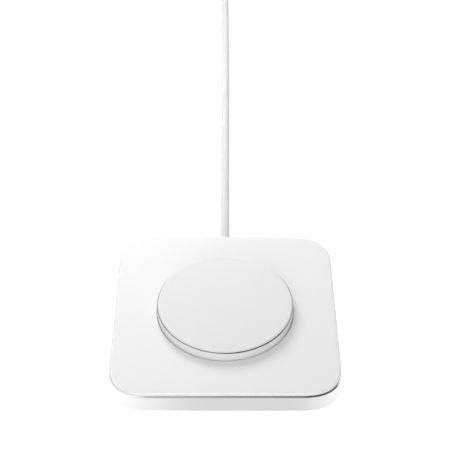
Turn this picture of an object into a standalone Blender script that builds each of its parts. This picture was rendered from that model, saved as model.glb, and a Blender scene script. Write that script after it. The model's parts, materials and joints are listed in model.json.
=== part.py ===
"""Square wireless charging pad with a raised magnetic puck and a captive cord, in metres, +Z up.

The origin is on the desk under the middle of the pad, +Z leaves through the charging face, and
the cord leaves through the middle of the +Y side. Every level below is worked out upwards or
downwards from the desk, the glass and the puck's face, so a size can be changed by itself.
"""
import math

import bmesh
import bpy
from mathutils import Matrix, Vector

# Fits
GAP = 0.0003                # between hidden pieces that touch
SEAM = 0.00012              # the fine joints that show round the trim and the puck's ring
SLACK = 0.0005              # round a piece that only has to pass through a hole

# Pad
PAD_WIDTH = 0.0922
PAD_HEIGHT = 0.0097         # desk to glass
CORNER_RADIUS = 0.0170
CORNER_POWER = 2.6          # 2 is a round corner, more is squarer
CORNER_STEPS = 9
SIDE_STEPS = 4
GLASS_THICKNESS = 0.0010
GLASS_ROUND = 0.0008        # radius of the glass' upper edge
TRIM_CHAMFER = 0.0005       # the polished chamfer that runs round the glass
TRIM_LAND = 0.00005
TRIM_LAP = 0.0002           # how far the glass sits down inside the trim
ADHESIVE_THICKNESS = 0.00025
ADHESIVE_INSET = 0.0016
WALL = 0.0020
WEB = 0.0012                # the chassis' deck under the glass
FOOT_PROUD = 0.0005
FOOT_THICKNESS = 0.0008
FOOT_INSET = 0.0006
PLATE_THICKNESS = 0.0015
BALLAST_INSET = 0.0012

# Puck
PUCK_DIAMETER = 0.0560
PUCK_STAND = 0.0049         # glass to the puck's face
PUCK_WALL = 0.0011
PUCK_FLOOR = 0.0008
PUCK_CHAMFER = 0.0003
RING_CHAMFER = 0.00025
RING_LAND = 0.00005
FACE_ROUND = 0.0008         # radius of the face's edge
FACE_THICKNESS = 0.0008
SKIRT_DEPTH = 0.0010        # the face's lip inside the ring
SKIRT_WIDTH = 0.0010
LEAD_HOLE_RADIUS = 0.0040   # in the puck's floor and the deck
TURN_STEPS = 52             # faces round the puck
DISC_STEPS = 32             # round a hidden disc
WOUND_STEPS = 44            # round the wound cord
POST_STEPS = 16
SCREW_STEPS = 12
OVAL_STEPS = 16
PLUG_STEPS = 24

# Inside the puck
MAGNET_COUNT = 16
MAGNET_WIDTH = 0.0034
MAGNET_SPACING = 0.0005
YOKE_THICKNESS = 0.0005
PUCK_BOARD_THICKNESS = 0.0008
FERRITE_THICKNESS = 0.0006
COIL_THICKNESS = 0.0011
COIL_HOLE_RADIUS = 0.0090
COIL_MARGIN = 0.0010
ANTENNA_THICKNESS = 0.0003
ANTENNA_WIDTH = 0.0013
SENSOR_RADIUS = 0.0016
RIBBON_WIDTH = 0.0060
RIBBON_THICKNESS = 0.0005

# Screws
BASE_SCREW_INSET = 0.0106
BASE_SCREW_RADIUS = 0.0012
BASE_HEAD_RADIUS = 0.0020
BASE_HEAD_HEIGHT = 0.0009
BASE_SCREW_REACH = 0.0040
BOSS_WALL = 0.0015
SMALL_SCREW_RADIUS = 0.0009
SMALL_HEAD_RADIUS = 0.0016
SMALL_HEAD_HEIGHT = 0.0005
PUCK_SCREW_CIRCLE = 0.0140
RECESS_SHARE = 0.45         # the driver recess as a share of the head

# Circuit board
BOARD_LENGTH = 0.0440
BOARD_WIDTH = 0.0340
BOARD_THICKNESS = 0.0010
BOARD_CORNER = 0.0020
STANDOFF_RADIUS = 0.0022
STANDOFF_LENGTH = 0.0007
BOARD_SCREW_INSET = 0.0035
CHIP_EDGE = 0.00015

# Cord
CORD_DIAMETER = 0.0036
LEAD_RADIUS = 0.0008        # the stripped end inside the pad
SLEEVE_LENGTH = 0.0030      # strain relief outside the wall
SLEEVE_WALL = 0.0007
SLEEVE_TIP_WALL = 0.0003
NECK_WALL = 0.0004
FLANGE_LENGTH = 0.0016
FLANGE_HALF_WIDTH = 0.0036
COLLAR_LENGTH = 0.0040
COLLAR_WALL = 0.0008
COLLAR_SETBACK = 0.0030
CORD_SPACING = 0.0080       # between the points of a tube

# The coil that stores the cord's length, and the plug behind it
COIL_CENTRE = Vector((-0.02645, 0.3000, 0.0))
COIL_MIDDLE_RADIUS = 0.0205
COIL_SPREAD = 0.0119        # radius of the outermost turn less that of the innermost
COIL_ROWS = 4
ROW_SLACK = 0.00005         # between two rows of turns
TIE_THICKNESS = 0.0005
TIE_WIDTH = 0.0060
PLUG_START = Vector((0.0, 0.3500, 0.0031))
BOOT_LENGTH = 0.0070
PLUG_LENGTH = 0.0180
PLUG_HALF_WIDTH = 0.0052
PLUG_HALF_HEIGHT = 0.0029
PLUG_POWER = 4              # sections run from an ellipse at 2 to a rounded rectangle
TIE_POWER = 8
SHELL_LENGTH = 0.0065
SHELL_HALF_WIDTH = 0.00413
SHELL_HALF_HEIGHT = 0.0012
SHELL_WALL = 0.0003

# Route of the cord's straight stretch and of its end behind the coil, chosen by hand. The third
# number is the height of the cord's underside above the desk.
RUN_ROUTE = [(0.0, 0.0600, 0.0031), (0.0, 0.0680, 0.0024), (0.0, 0.0800, 0.0009), (0.0, 0.0930, 0.00015),
             (0.0001, 0.1100, 0.0001), (0.0002, 0.1500, 0.0001), (0.0003, 0.2000, 0.0001),
             (0.0002, 0.2400, 0.0001), (0.0, 0.2700, 0.0001)]
TAIL_ROUTE = [(0.0, 0.3200, 0.0106), (0.0, 0.3280, 0.0077), (0.0, 0.3360, 0.0042), (0.0, 0.3430, 0.0020)]

# Levels, from the desk up
HALF = PAD_WIDTH / 2
FOOT_TOP = FOOT_THICKNESS
PLATE_BOTTOM = FOOT_TOP + GAP
PLATE_TOP = PLATE_BOTTOM + PLATE_THICKNESS
GLASS_BOTTOM = PAD_HEIGHT - GLASS_THICKNESS
TRIM_TOP = GLASS_BOTTOM + TRIM_LAP
TRIM_BOTTOM = TRIM_TOP - TRIM_CHAMFER - TRIM_LAND
WALL_TOP = TRIM_BOTTOM - SEAM
ADHESIVE_TOP = GLASS_BOTTOM - SEAM
ADHESIVE_BOTTOM = ADHESIVE_TOP - ADHESIVE_THICKNESS
DECK_TOP = ADHESIVE_BOTTOM - SEAM
DECK_BOTTOM = DECK_TOP - WEB
BALLAST_BOTTOM = PLATE_TOP + GAP
BALLAST_TOP = DECK_BOTTOM - GAP
BOARD_TOP = DECK_BOTTOM - STANDOFF_LENGTH - GAP
BOARD_BOTTOM = BOARD_TOP - BOARD_THICKNESS
CHIP_TOP = BOARD_BOTTOM - GAP
PUCK_RADIUS = PUCK_DIAMETER / 2
PUCK_TOP = PAD_HEIGHT + PUCK_STAND
PUCK_BOTTOM = DECK_TOP + GAP
PUCK_INNER = PUCK_RADIUS - PUCK_WALL
RING_TOP = PUCK_TOP - FACE_ROUND + RING_LAND
RING_BOTTOM = RING_TOP - RING_CHAMFER - RING_LAND
HOUSING_TOP = RING_BOTTOM - SEAM
FACE_BOTTOM = HOUSING_TOP + SEAM
FLOOR_TOP = PUCK_BOTTOM + PUCK_FLOOR
STACK_BOTTOM = FLOOR_TOP + GAP
SKIRT_BOTTOM = FACE_BOTTOM - SKIRT_DEPTH
MAGNET_OUTER = PUCK_INNER - 2 * GAP
MAGNET_INNER = MAGNET_OUTER - MAGNET_WIDTH
MAGNET_BOTTOM = STACK_BOTTOM + YOKE_THICKNESS + GAP
MAGNET_TOP = SKIRT_BOTTOM - GAP
CORE_RADIUS = MAGNET_INNER - SLACK - COIL_MARGIN
FERRITE_BOTTOM = STACK_BOTTOM + PUCK_BOARD_THICKNESS + GAP
COIL_BOTTOM = FERRITE_BOTTOM + FERRITE_THICKNESS + GAP
ANTENNA_BOTTOM = COIL_BOTTOM + COIL_THICKNESS + GAP
EXIT_HEIGHT = (PLATE_TOP + DECK_BOTTOM) / 2
FLANGE_HALF_HEIGHT = (DECK_BOTTOM - PLATE_TOP) / 2 - GAP
CORD_RADIUS = CORD_DIAMETER / 2
INNER_WALL = HALF - WALL
SLEEVE_START = HALF + GAP
CORD_START = SLEEVE_START + SLEEVE_LENGTH + GAP
COIL_OUTER = COIL_MIDDLE_RADIUS + COIL_SPREAD / 2 + CORD_RADIUS
COIL_INNER = COIL_MIDDLE_RADIUS - COIL_SPREAD / 2 - CORD_RADIUS
ROW_PITCH = CORD_DIAMETER + ROW_SLACK
COIL_TOP = CORD_DIAMETER + (COIL_ROWS - 1) * ROW_PITCH + GAP


def clear_scene():
    for thing in list(bpy.data.objects):
        bpy.data.objects.remove(thing)


def finish(name, colour, roughness, metallic):
    """A material with the piece's colour and gloss."""
    made = bpy.data.materials.new(name)
    made.use_nodes = True
    shader = made.node_tree.nodes["Principled BSDF"]
    shader.inputs["Base Color"].default_value = (*colour, 1)
    shader.inputs["Roughness"].default_value = roughness
    shader.inputs["Metallic"].default_value = metallic
    return made


def object_from(name, bm, material):
    """Turns a bmesh into a named object with its faces pointing out."""
    bmesh.ops.recalc_face_normals(bm, faces=bm.faces[:])
    mesh = bpy.data.meshes.new(name)
    bm.to_mesh(mesh)
    bm.free()
    mesh.materials.append(material)
    mesh.shade_smooth()
    mesh.set_sharp_from_angle(angle=math.radians(35))
    made = bpy.data.objects.new(name, mesh)
    bpy.context.scene.collection.objects.link(made)
    return made


def pad_ring(inset, z):
    """The pad's outline moved inwards by inset, anticlockwise: straight sides, soft corners."""
    half, corner = HALF - inset, CORNER_RADIUS - inset
    centre = half - corner
    points = []
    for quarter in range(4):
        turn = Matrix.Rotation(quarter * math.pi / 2, 2)
        for step in range(CORNER_STEPS):
            angle = step / CORNER_STEPS * math.pi / 2
            x = centre + corner * math.cos(angle) ** (2 / CORNER_POWER)
            y = centre + corner * math.sin(angle) ** (2 / CORNER_POWER)
            points.append(turn @ Vector((x, y)))
        for step in range(SIDE_STEPS):
            points.append(turn @ Vector((centre * (1 - 2 * step / SIDE_STEPS), half)))
    return [Vector((point.x, point.y, z)) for point in points]


def round_ring(radius, z):
    """A circle with as many points as the pad's outline, its corners opposite that one's."""
    count = 4 * (CORNER_STEPS + SIDE_STEPS)
    first = math.pi / 4 - math.pi * CORNER_STEPS / count
    angles = [first + 2 * math.pi * step / count for step in range(count)]
    return [Vector((radius * math.cos(angle), radius * math.sin(angle), z)) for angle in angles]


def oval_ring(half_width, half_height, power, centre, count=OVAL_STEPS):
    """A section across the Y axis, from an ellipse (power 2) to a rounded rectangle."""
    ring = []
    for step in range(count):
        c, s = math.cos(2 * math.pi * step / count), math.sin(2 * math.pi * step / count)
        x = half_width * math.copysign(abs(c) ** (2 / power), c)
        z = half_height * math.copysign(abs(s) ** (2 / power), s)
        ring.append(centre + Vector((x, 0, z)))
    return ring


def stacked(name, rings, material, closed=False):
    """A skin through rings of equally many points: capped at both ends, or closed on itself."""
    bm = bmesh.new()
    loops = [[bm.verts.new(point) for point in ring] for ring in rings]
    pairs = list(zip(loops, loops[1:]))
    if closed:
        pairs.append((loops[-1], loops[0]))
    else:
        bm.faces.new(loops[0])
        bm.faces.new(loops[-1])
    for lower, upper in pairs:
        for i in range(len(lower)):
            j = (i + 1) % len(lower)
            bm.faces.new((lower[i], lower[j], upper[j], upper[i]))
    return object_from(name, bm, material)


def turned(name, profile, material, centre=(0, 0), steps=TURN_STEPS):
    """Spins (radius, height) points about a vertical axis. A profile that leaves the axis and
    comes back to it makes a solid, and one that never touches it is closed into a ring."""
    bm = bmesh.new()
    verts = [bm.verts.new((radius, 0, z)) for radius, z in profile]
    edges = [bm.edges.new(pair) for pair in zip(verts, verts[1:])]
    if profile[0][0] > 0:
        edges.append(bm.edges.new((verts[-1], verts[0])))
    bmesh.ops.spin(bm, geom=verts + edges, cent=(0, 0, 0), axis=(0, 0, 1), angle=2 * math.pi,
                   steps=steps, use_merge=True)
    bmesh.ops.remove_doubles(bm, verts=bm.verts[:], dist=1e-7)
    made = object_from(name, bm, material)
    made.location = (*centre, 0)
    return made


def block(name, low, high, material, edge=0.0):
    """A box between two corners, with small chamfered edges."""
    low, high = Vector(low), Vector(high)
    bm = bmesh.new()
    bmesh.ops.create_cube(bm, size=1)
    bmesh.ops.scale(bm, vec=high - low, verts=bm.verts[:])
    if edge:
        bmesh.ops.bevel(bm, geom=bm.edges[:], offset=edge, segments=1, affect="EDGES")
    made = object_from(name, bm, material)
    made.location = (low + high) / 2
    return made


def boolean(piece, other, operation):
    """Cuts other from a piece or joins it on. other stays as a hidden helper."""
    made = piece.modifiers.new(other.name, "BOOLEAN")
    made.operation = operation
    made.object = other
    other.hide_render = True
    other.display_type = "WIRE"


def post(name, centre, low, high, radius):
    """A plain upright cylinder, to cut with or to join on."""
    profile = [(0, low), (radius, low), (radius, high), (0, high)]
    return turned(name, profile, helper, centre, POST_STEPS)


def cross_bore(name, radius, start, end, z):
    """A cylinder along Y, to cut with."""
    rings = [oval_ring(radius, radius, 2, Vector((0, y, z))) for y in (start, end)]
    return stacked(name, rings, helper)


def screw(name, centre, head_bottom, head_radius, head_height, shank_radius, tip, material):
    """A flat-headed screw driven upwards, with a driver recess under its head."""
    recess = head_radius * RECESS_SHARE
    head_top = head_bottom + head_height
    profile = [(0, head_bottom + head_height / 2), (recess, head_bottom + head_height / 2),
               (recess, head_bottom), (head_radius, head_bottom), (head_radius, head_top),
               (shank_radius, head_top), (shank_radius, tip - shank_radius / 2),
               (shank_radius / 2, tip), (0, tip)]
    return turned(name, profile, material, centre, SCREW_STEPS)


def smooth_points(route, spacing):
    """Evenly spaced points on a smooth curve through the route's own points."""
    route = [Vector(point) for point in route]
    ends = [2 * route[0] - route[1], *route, 2 * route[-1] - route[-2]]
    fine = []
    for p0, p1, p2, p3 in zip(ends, ends[1:], ends[2:], ends[3:]):
        for step in range(40):
            t = step / 40
            fine.append(0.5 * (2 * p1 + (p2 - p0) * t + (2 * p0 - 5 * p1 + 4 * p2 - p3) * t * t
                               + (3 * p1 - p0 - 3 * p2 + p3) * t ** 3))
    fine.append(route[-1])
    length = sum((b - a).length for a, b in zip(fine, fine[1:]))
    step = length / max(1, round(length / spacing))
    points, walked = [fine[0]], 0.0
    for a, b in zip(fine, fine[1:]):
        walked += (b - a).length
        if walked >= step - 1e-9:
            points.append(b)
            walked -= step
    if (points[-1] - route[-1]).length > step / 2:
        points.append(route[-1])
    points[-1] = route[-1]
    return points


def tube(name, route, radius, material, spacing=CORD_SPACING):
    """A round cord along a route, with flat filled ends."""
    points = smooth_points(route, spacing)
    curve = bpy.data.curves.new(name, "CURVE")
    curve.dimensions = "3D"
    curve.bevel_depth = radius
    curve.bevel_resolution = 2
    curve.use_fill_caps = True
    spline = curve.splines.new("POLY")
    spline.points.add(len(points) - 1)
    for slot, point in zip(spline.points, points):
        slot.co = (*point, 1)
    curve.materials.append(material)
    made = bpy.data.objects.new(name, curve)
    bpy.context.scene.collection.objects.link(made)
    return made


def corners(x, y):
    return [(x, y), (-x, y), (-x, -y), (x, -y)]


# The pad's shells

def make_chassis():
    """The metal body: wall, deck, trim shelf, screw bosses and the cord's exit."""
    lip = TRIM_CHAMFER + GAP
    rings = [pad_ring(0, FOOT_PROUD), pad_ring(0, WALL_TOP), pad_ring(lip, WALL_TOP),
             pad_ring(lip, DECK_TOP), round_ring(LEAD_HOLE_RADIUS, DECK_TOP),
             round_ring(LEAD_HOLE_RADIUS, DECK_BOTTOM), pad_ring(WALL, DECK_BOTTOM),
             pad_ring(WALL, FOOT_PROUD)]
    chassis = stacked("chassis", rings, silver, closed=True)
    inside_deck = DECK_BOTTOM + WEB / 2
    hole = BASE_SCREW_RADIUS + GAP
    for i, place in enumerate(corners(HALF - BASE_SCREW_INSET, HALF - BASE_SCREW_INSET)):
        boss = post(f"boss_{i}", place, PLATE_TOP + GAP, inside_deck, hole + BOSS_WALL)
        boolean(chassis, boss, "UNION")
        bore = post(f"boss_bore_{i}", place, PLATE_BOTTOM, BASE_TIP + GAP, hole)
        boolean(chassis, bore, "DIFFERENCE")
    for i, place in enumerate(BOARD_SCREWS):
        standoff = post(f"standoff_{i}", place, BOARD_TOP + GAP, inside_deck, STANDOFF_RADIUS)
        boolean(chassis, standoff, "UNION")
        bore = post(f"standoff_bore_{i}", place, BOARD_BOTTOM, BOARD_TIP + GAP,
                    SMALL_SCREW_RADIUS + GAP)
        boolean(chassis, bore, "DIFFERENCE")
    for i, place in enumerate(PUCK_SCREWS):
        bore = post(f"puck_screw_bore_{i}", place, BOARD_TOP, PUCK_TOP, SMALL_SCREW_RADIUS + GAP)
        boolean(chassis, bore, "DIFFERENCE")
    bore = cross_bore("cord_bore", CORD_RADIUS + NECK_WALL + GAP, INNER_WALL - WALL, HALF + WALL,
                      EXIT_HEIGHT)
    boolean(chassis, bore, "DIFFERENCE")


def make_top():
    """The polished trim, the adhesive sheet and the round-edged glass that lie on the deck."""
    rings = [pad_ring(0, TRIM_BOTTOM), pad_ring(0, TRIM_BOTTOM + TRIM_LAND),
             pad_ring(TRIM_CHAMFER, TRIM_TOP), pad_ring(TRIM_CHAMFER, TRIM_BOTTOM)]
    stacked("edge_trim", rings, polished, closed=True)
    opening = PUCK_RADIUS + GAP
    sheet = opening + SLACK
    rings = [pad_ring(ADHESIVE_INSET, ADHESIVE_BOTTOM), pad_ring(ADHESIVE_INSET, ADHESIVE_TOP),
             round_ring(sheet, ADHESIVE_TOP), round_ring(sheet, ADHESIVE_BOTTOM)]
    stacked("panel_adhesive", rings, adhesive, closed=True)
    edge = TRIM_CHAMFER + SEAM
    rings = [pad_ring(edge, GLASS_BOTTOM)]
    for angle in (0, 30, 60, 90):
        inwards = GLASS_ROUND * (1 - math.cos(math.radians(angle)))
        down = GLASS_ROUND * (1 - math.sin(math.radians(angle)))
        rings.append(pad_ring(edge + inwards, PAD_HEIGHT - down))
    rings += [round_ring(opening, PAD_HEIGHT), round_ring(opening, GLASS_BOTTOM)]
    stacked("top_panel", rings, glass, closed=True)


def make_base():
    """The base plate with its countersunk screws, the rubber foot and the steel weight."""
    inset = WALL + GAP
    plate = stacked("base_plate", [pad_ring(inset, PLATE_BOTTOM), pad_ring(inset, PLATE_TOP)], silver)
    seat, bore = BASE_HEAD_RADIUS + GAP, BASE_SCREW_RADIUS + GAP
    shoulder = PLATE_BOTTOM + BASE_HEAD_HEIGHT + GAP
    hole = [(0, 0), (seat, 0), (seat, shoulder), (bore, shoulder), (bore, PAD_HEIGHT), (0, PAD_HEIGHT)]
    for i, place in enumerate(corners(HALF - BASE_SCREW_INSET, HALF - BASE_SCREW_INSET)):
        boolean(plate, turned(f"screw_hole_{i}", hole, helper, place, POST_STEPS), "DIFFERENCE")
        screw(f"base_screw_{i + 1}", place, PLATE_BOTTOM, BASE_HEAD_RADIUS, BASE_HEAD_HEIGHT,
              BASE_SCREW_RADIUS, BASE_TIP, steel)
    rim = inset + FOOT_INSET
    stacked("foot_pad", [pad_ring(rim + FOOT_PROUD / 2, 0), pad_ring(rim, FOOT_PROUD / 2),
                         pad_ring(rim, FOOT_TOP)], rubber)
    inset = WALL + BALLAST_INSET
    ballast = stacked("ballast_plate", [pad_ring(inset, BALLAST_BOTTOM), pad_ring(inset, BALLAST_TOP)],
                      steel)
    around = BASE_SCREW_RADIUS + GAP + BOSS_WALL + SLACK
    for i, place in enumerate(corners(HALF - BASE_SCREW_INSET, HALF - BASE_SCREW_INSET)):
        boolean(ballast, post(f"ballast_bore_{i}", place, 0, PAD_HEIGHT, around), "DIFFERENCE")
    room = 2 * SLACK + SMALL_HEAD_RADIUS
    window = block("ballast_window", (-BOARD_LENGTH / 2 - room, -BOARD_WIDTH / 2 - room, 0),
                   (BOARD_LENGTH / 2 + room, BOARD_WIDTH / 2 + room, PAD_HEIGHT), helper)
    boolean(ballast, window, "DIFFERENCE")
    slot = FLANGE_HALF_WIDTH + SLACK
    channel = block("ballast_channel", (-slot, 0, 0), (slot, HALF, PAD_HEIGHT), helper)
    boolean(ballast, channel, "DIFFERENCE")


# The puck

def make_puck():
    """The raised disc: a cup that stands on the deck, its polished ring and its soft face."""
    housing = turned("puck_housing", [
        (LEAD_HOLE_RADIUS, PUCK_BOTTOM), (PUCK_RADIUS - PUCK_CHAMFER, PUCK_BOTTOM),
        (PUCK_RADIUS, PUCK_BOTTOM + PUCK_CHAMFER), (PUCK_RADIUS, HOUSING_TOP),
        (PUCK_INNER, HOUSING_TOP), (PUCK_INNER, FLOOR_TOP), (LEAD_HOLE_RADIUS, FLOOR_TOP)], white)
    for i, place in enumerate(PUCK_SCREWS):
        bore = post(f"floor_bore_{i}", place, DECK_BOTTOM, FLOOR_TOP + PUCK_FLOOR,
                    SMALL_SCREW_RADIUS + GAP)
        boolean(housing, bore, "DIFFERENCE")
        head = DECK_BOTTOM - GAP - SMALL_HEAD_HEIGHT
        screw(f"puck_screw_{i + 1}", place, head, SMALL_HEAD_RADIUS, SMALL_HEAD_HEIGHT,
              SMALL_SCREW_RADIUS, FLOOR_TOP, steel)
    inner = PUCK_RADIUS - RING_CHAMFER
    turned("puck_ring", [(inner, RING_BOTTOM), (PUCK_RADIUS, RING_BOTTOM),
                         (PUCK_RADIUS, RING_BOTTOM + RING_LAND), (inner, RING_TOP)], polished)
    skirt = PUCK_INNER - GAP
    under = PUCK_TOP - FACE_THICKNESS
    rim = inner - SEAM
    edge = [(rim - FACE_ROUND * (1 - math.sin(math.radians(angle))),
             PUCK_TOP - FACE_ROUND * (1 - math.cos(math.radians(angle)))) for angle in (0, 30, 60, 90)]
    turned("puck_face", [(0, PUCK_TOP), *edge, (rim, FACE_BOTTOM), (skirt, FACE_BOTTOM),
                         (skirt, SKIRT_BOTTOM), (skirt - SKIRT_WIDTH, SKIRT_BOTTOM),
                         (skirt - SKIRT_WIDTH, under), (0, under)], white)


def make_magnets():
    """The ring of magnets that holds a phone in place, each one an arc, on its steel yoke."""
    turned("magnet_yoke", [(MAGNET_INNER, STACK_BOTTOM), (MAGNET_OUTER, STACK_BOTTOM),
                           (MAGNET_OUTER, STACK_BOTTOM + YOKE_THICKNESS),
                           (MAGNET_INNER, STACK_BOTTOM + YOKE_THICKNESS)], steel, steps=DISC_STEPS)
    pitch = 2 * math.pi / MAGNET_COUNT
    span = pitch - MAGNET_SPACING / MAGNET_INNER
    for i in range(MAGNET_COUNT):
        bm = bmesh.new()
        section = [(MAGNET_INNER, MAGNET_BOTTOM), (MAGNET_OUTER, MAGNET_BOTTOM),
                   (MAGNET_OUTER, MAGNET_TOP), (MAGNET_INNER, MAGNET_TOP)]
        face = bm.faces.new([bm.verts.new((radius, 0, z)) for radius, z in section])
        bmesh.ops.rotate(bm, verts=bm.verts[:], cent=(0, 0, 0),
                         matrix=Matrix.Rotation(i * pitch - span / 2, 3, "Z"))
        bmesh.ops.spin(bm, geom=[face], cent=(0, 0, 0), axis=(0, 0, 1), angle=span, steps=3)
        object_from(f"magnet_{i + 1:02d}", bm, magnet)


def disc(name, inner, outer, low, high, material):
    """A flat washer, or a plate where inner is 0."""
    return turned(name, [(inner, low), (outer, low), (outer, high), (inner, high)], material,
                  steps=DISC_STEPS)


def make_coil_stack():
    """What transmits the power: board, ferrite, winding, antenna and temperature sensor."""
    disc("puck_board", 0, CORE_RADIUS, STACK_BOTTOM, STACK_BOTTOM + PUCK_BOARD_THICKNESS, board)
    disc("ferrite_shield", 0, CORE_RADIUS, FERRITE_BOTTOM, FERRITE_BOTTOM + FERRITE_THICKNESS, ferrite)
    disc("charging_coil", COIL_HOLE_RADIUS, CORE_RADIUS - COIL_MARGIN, COIL_BOTTOM,
         COIL_BOTTOM + COIL_THICKNESS, copper)
    outer = MAGNET_INNER - SLACK
    disc("antenna_ring", outer - ANTENNA_WIDTH, outer, ANTENNA_BOTTOM,
         ANTENNA_BOTTOM + ANTENNA_THICKNESS, board)
    disc("temperature_sensor", 0, SENSOR_RADIUS, COIL_BOTTOM, COIL_BOTTOM + COIL_THICKNESS, chip)
    block("puck_ribbon", (-RIBBON_WIDTH / 2, -RIBBON_THICKNESS / 2, BOARD_TOP + GAP),
          (RIBBON_WIDTH / 2, RIBBON_THICKNESS / 2, STACK_BOTTOM - GAP), adhesive)


# The electronics under the deck

def make_electronics():
    """The board on its standoffs, its screws, and the parts soldered to its underside."""
    bm = bmesh.new()
    bmesh.ops.create_cube(bm, size=1)
    bmesh.ops.scale(bm, vec=(BOARD_LENGTH, BOARD_WIDTH, BOARD_THICKNESS), verts=bm.verts[:])
    upright = [edge for edge in bm.edges if abs(edge.verts[0].co.z - edge.verts[1].co.z) > SEAM]
    bmesh.ops.bevel(bm, geom=upright, offset=BOARD_CORNER, segments=4, affect="EDGES")
    circuit = object_from("circuit_board", bm, board)
    circuit.location.z = (BOARD_TOP + BOARD_BOTTOM) / 2
    for i, place in enumerate(BOARD_SCREWS):
        bore = post(f"board_bore_{i}", place, 0, PAD_HEIGHT, SMALL_SCREW_RADIUS + GAP)
        boolean(circuit, bore, "DIFFERENCE")
        head = BOARD_BOTTOM - GAP - SMALL_HEAD_HEIGHT
        screw(f"board_screw_{i + 1}", place, head, SMALL_HEAD_RADIUS, SMALL_HEAD_HEIGHT,
              SMALL_SCREW_RADIUS, BOARD_TIP, steel)
    for name, middle, size, material in SOLDERED:
        low = (middle[0] - size[0] / 2, middle[1] - size[1] / 2, CHIP_TOP - size[2])
        high = (middle[0] + size[0] / 2, middle[1] + size[1] / 2, CHIP_TOP)
        block(name, low, high, material, CHIP_EDGE)


# The cord

def make_cord_entry():
    """The sleeve in the wall, and the stripped lead with its crimped collar behind it."""
    sleeve_end = SLEEVE_START + SLEEVE_LENGTH
    neck = CORD_RADIUS + NECK_WALL
    flange_back = INNER_WALL - GAP - FLANGE_LENGTH
    sections = [(flange_back, FLANGE_HALF_WIDTH, FLANGE_HALF_HEIGHT),
                (flange_back + FLANGE_LENGTH, FLANGE_HALF_WIDTH, FLANGE_HALF_HEIGHT),
                (flange_back + FLANGE_LENGTH, FLANGE_HALF_HEIGHT, FLANGE_HALF_HEIGHT),
                (INNER_WALL, neck, neck), (SLEEVE_START, neck, neck),
                (SLEEVE_START, CORD_RADIUS + SLEEVE_WALL, CORD_RADIUS + SLEEVE_WALL),
                (sleeve_end, CORD_RADIUS + SLEEVE_TIP_WALL, CORD_RADIUS + SLEEVE_TIP_WALL)]
    rings = [oval_ring(width, height, 2, Vector((0, y, EXIT_HEIGHT))) for y, width, height in sections]
    stacked("strain_relief", rings, white)
    lead_end = flange_back - GAP
    connector = next(entry for entry in SOLDERED if entry[0] == "board_connector")
    face = connector[1][1] + connector[2][1] / 2 + GAP
    low = CHIP_TOP - connector[2][2] / 2
    collar_end = lead_end - COLLAR_SETBACK
    collar_start = collar_end - COLLAR_LENGTH
    tube("power_lead", [(0, lead_end, EXIT_HEIGHT), (0, collar_start - COLLAR_SETBACK, EXIT_HEIGHT),
                        (0, (collar_start + face) / 2, (EXIT_HEIGHT + low) / 2),
                        (0, face + COLLAR_SETBACK, low), (0, face, low)], LEAD_RADIUS, rubber, 0.0025)
    inner, outer = LEAD_RADIUS + GAP, LEAD_RADIUS + GAP + COLLAR_WALL
    rings = [oval_ring(radius, radius, 2, Vector((0, y, EXIT_HEIGHT)))
             for radius, y in ((inner, collar_start), (outer, collar_start), (outer, collar_end),
                               (inner, collar_end))]
    stacked("crimp_collar", rings, steel, closed=True)


def make_cord():
    """The cord on the desk, the solid of its wound coil with a tie, and its end behind that."""
    run = [(x, y, under + CORD_RADIUS) for x, y, under in RUN_ROUTE]
    tail = [(x, y, under + CORD_RADIUS) for x, y, under in TAIL_ROUTE]
    meets = math.sqrt(COIL_OUTER ** 2 - (COIL_OUTER - CORD_DIAMETER) ** 2) + 2 * GAP
    top_row = CORD_RADIUS + (COIL_ROWS - 1) * ROW_PITCH + GAP
    tube("cord_run", [(0, CORD_START, EXIT_HEIGHT), *run,
                      (0, COIL_CENTRE.y - meets, CORD_RADIUS + GAP / 3)], CORD_RADIUS, cord_white)
    tube("cord_tail", [(0, COIL_CENTRE.y + meets, top_row), *tail,
                       (0, PLUG_START.y - GAP, PLUG_START.z)], CORD_RADIUS, cord_white)
    round_off = CORD_RADIUS
    floor = GAP / 3
    coil = turned("cord_coil", [
        (COIL_INNER, floor + round_off), (COIL_INNER + round_off, floor),
        (COIL_OUTER - round_off, floor), (COIL_OUTER, floor + round_off),
        (COIL_OUTER, COIL_TOP - round_off), (COIL_OUTER - round_off, COIL_TOP),
        (COIL_INNER + round_off, COIL_TOP), (COIL_INNER, COIL_TOP - round_off)], cord_white,
        (COIL_CENTRE.x, COIL_CENTRE.y), WOUND_STEPS)
    west = COIL_CENTRE.x - COIL_MIDDLE_RADIUS
    bow = TIE_WIDTH ** 2 / (8 * COIL_INNER)         # how far the coil's bore curves in behind the tie
    reach = (COIL_OUTER - COIL_INNER) / 2 + bow + GAP
    y0, y1 = COIL_CENTRE.y - TIE_WIDTH / 2, COIL_CENTRE.y + TIE_WIDTH / 2
    lift = TIE_THICKNESS + GAP
    notch = block("tie_notch", (west - 2 * reach, y0 - SLACK, -lift), (west + 2 * reach, y1 + SLACK, lift),
                  helper)
    boolean(coil, notch, "DIFFERENCE")
    middle = Vector((west, 0, (COIL_TOP + lift) / 2))
    height = (COIL_TOP - lift) / 2 + GAP
    rings = []
    for y, extra in ((y0, 0), (y0, TIE_THICKNESS), (y1, TIE_THICKNESS), (y1, 0)):
        centre = middle + Vector((0, y, 0))
        rings.append(oval_ring(reach + extra, height + extra, TIE_POWER, centre, 2 * OVAL_STEPS))
    stacked("cord_tie", rings, rubber, closed=True)


def plug_rings(name, sections, material):
    """A skin through (y, half width, half height, power) sections on the plug's own axis."""
    at = Vector((PLUG_START.x, 0, PLUG_START.z))
    stacked(name, [oval_ring(width, height, power, at + Vector((0, y, 0)), PLUG_STEPS)
                   for y, width, height, power in sections], material)


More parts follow.
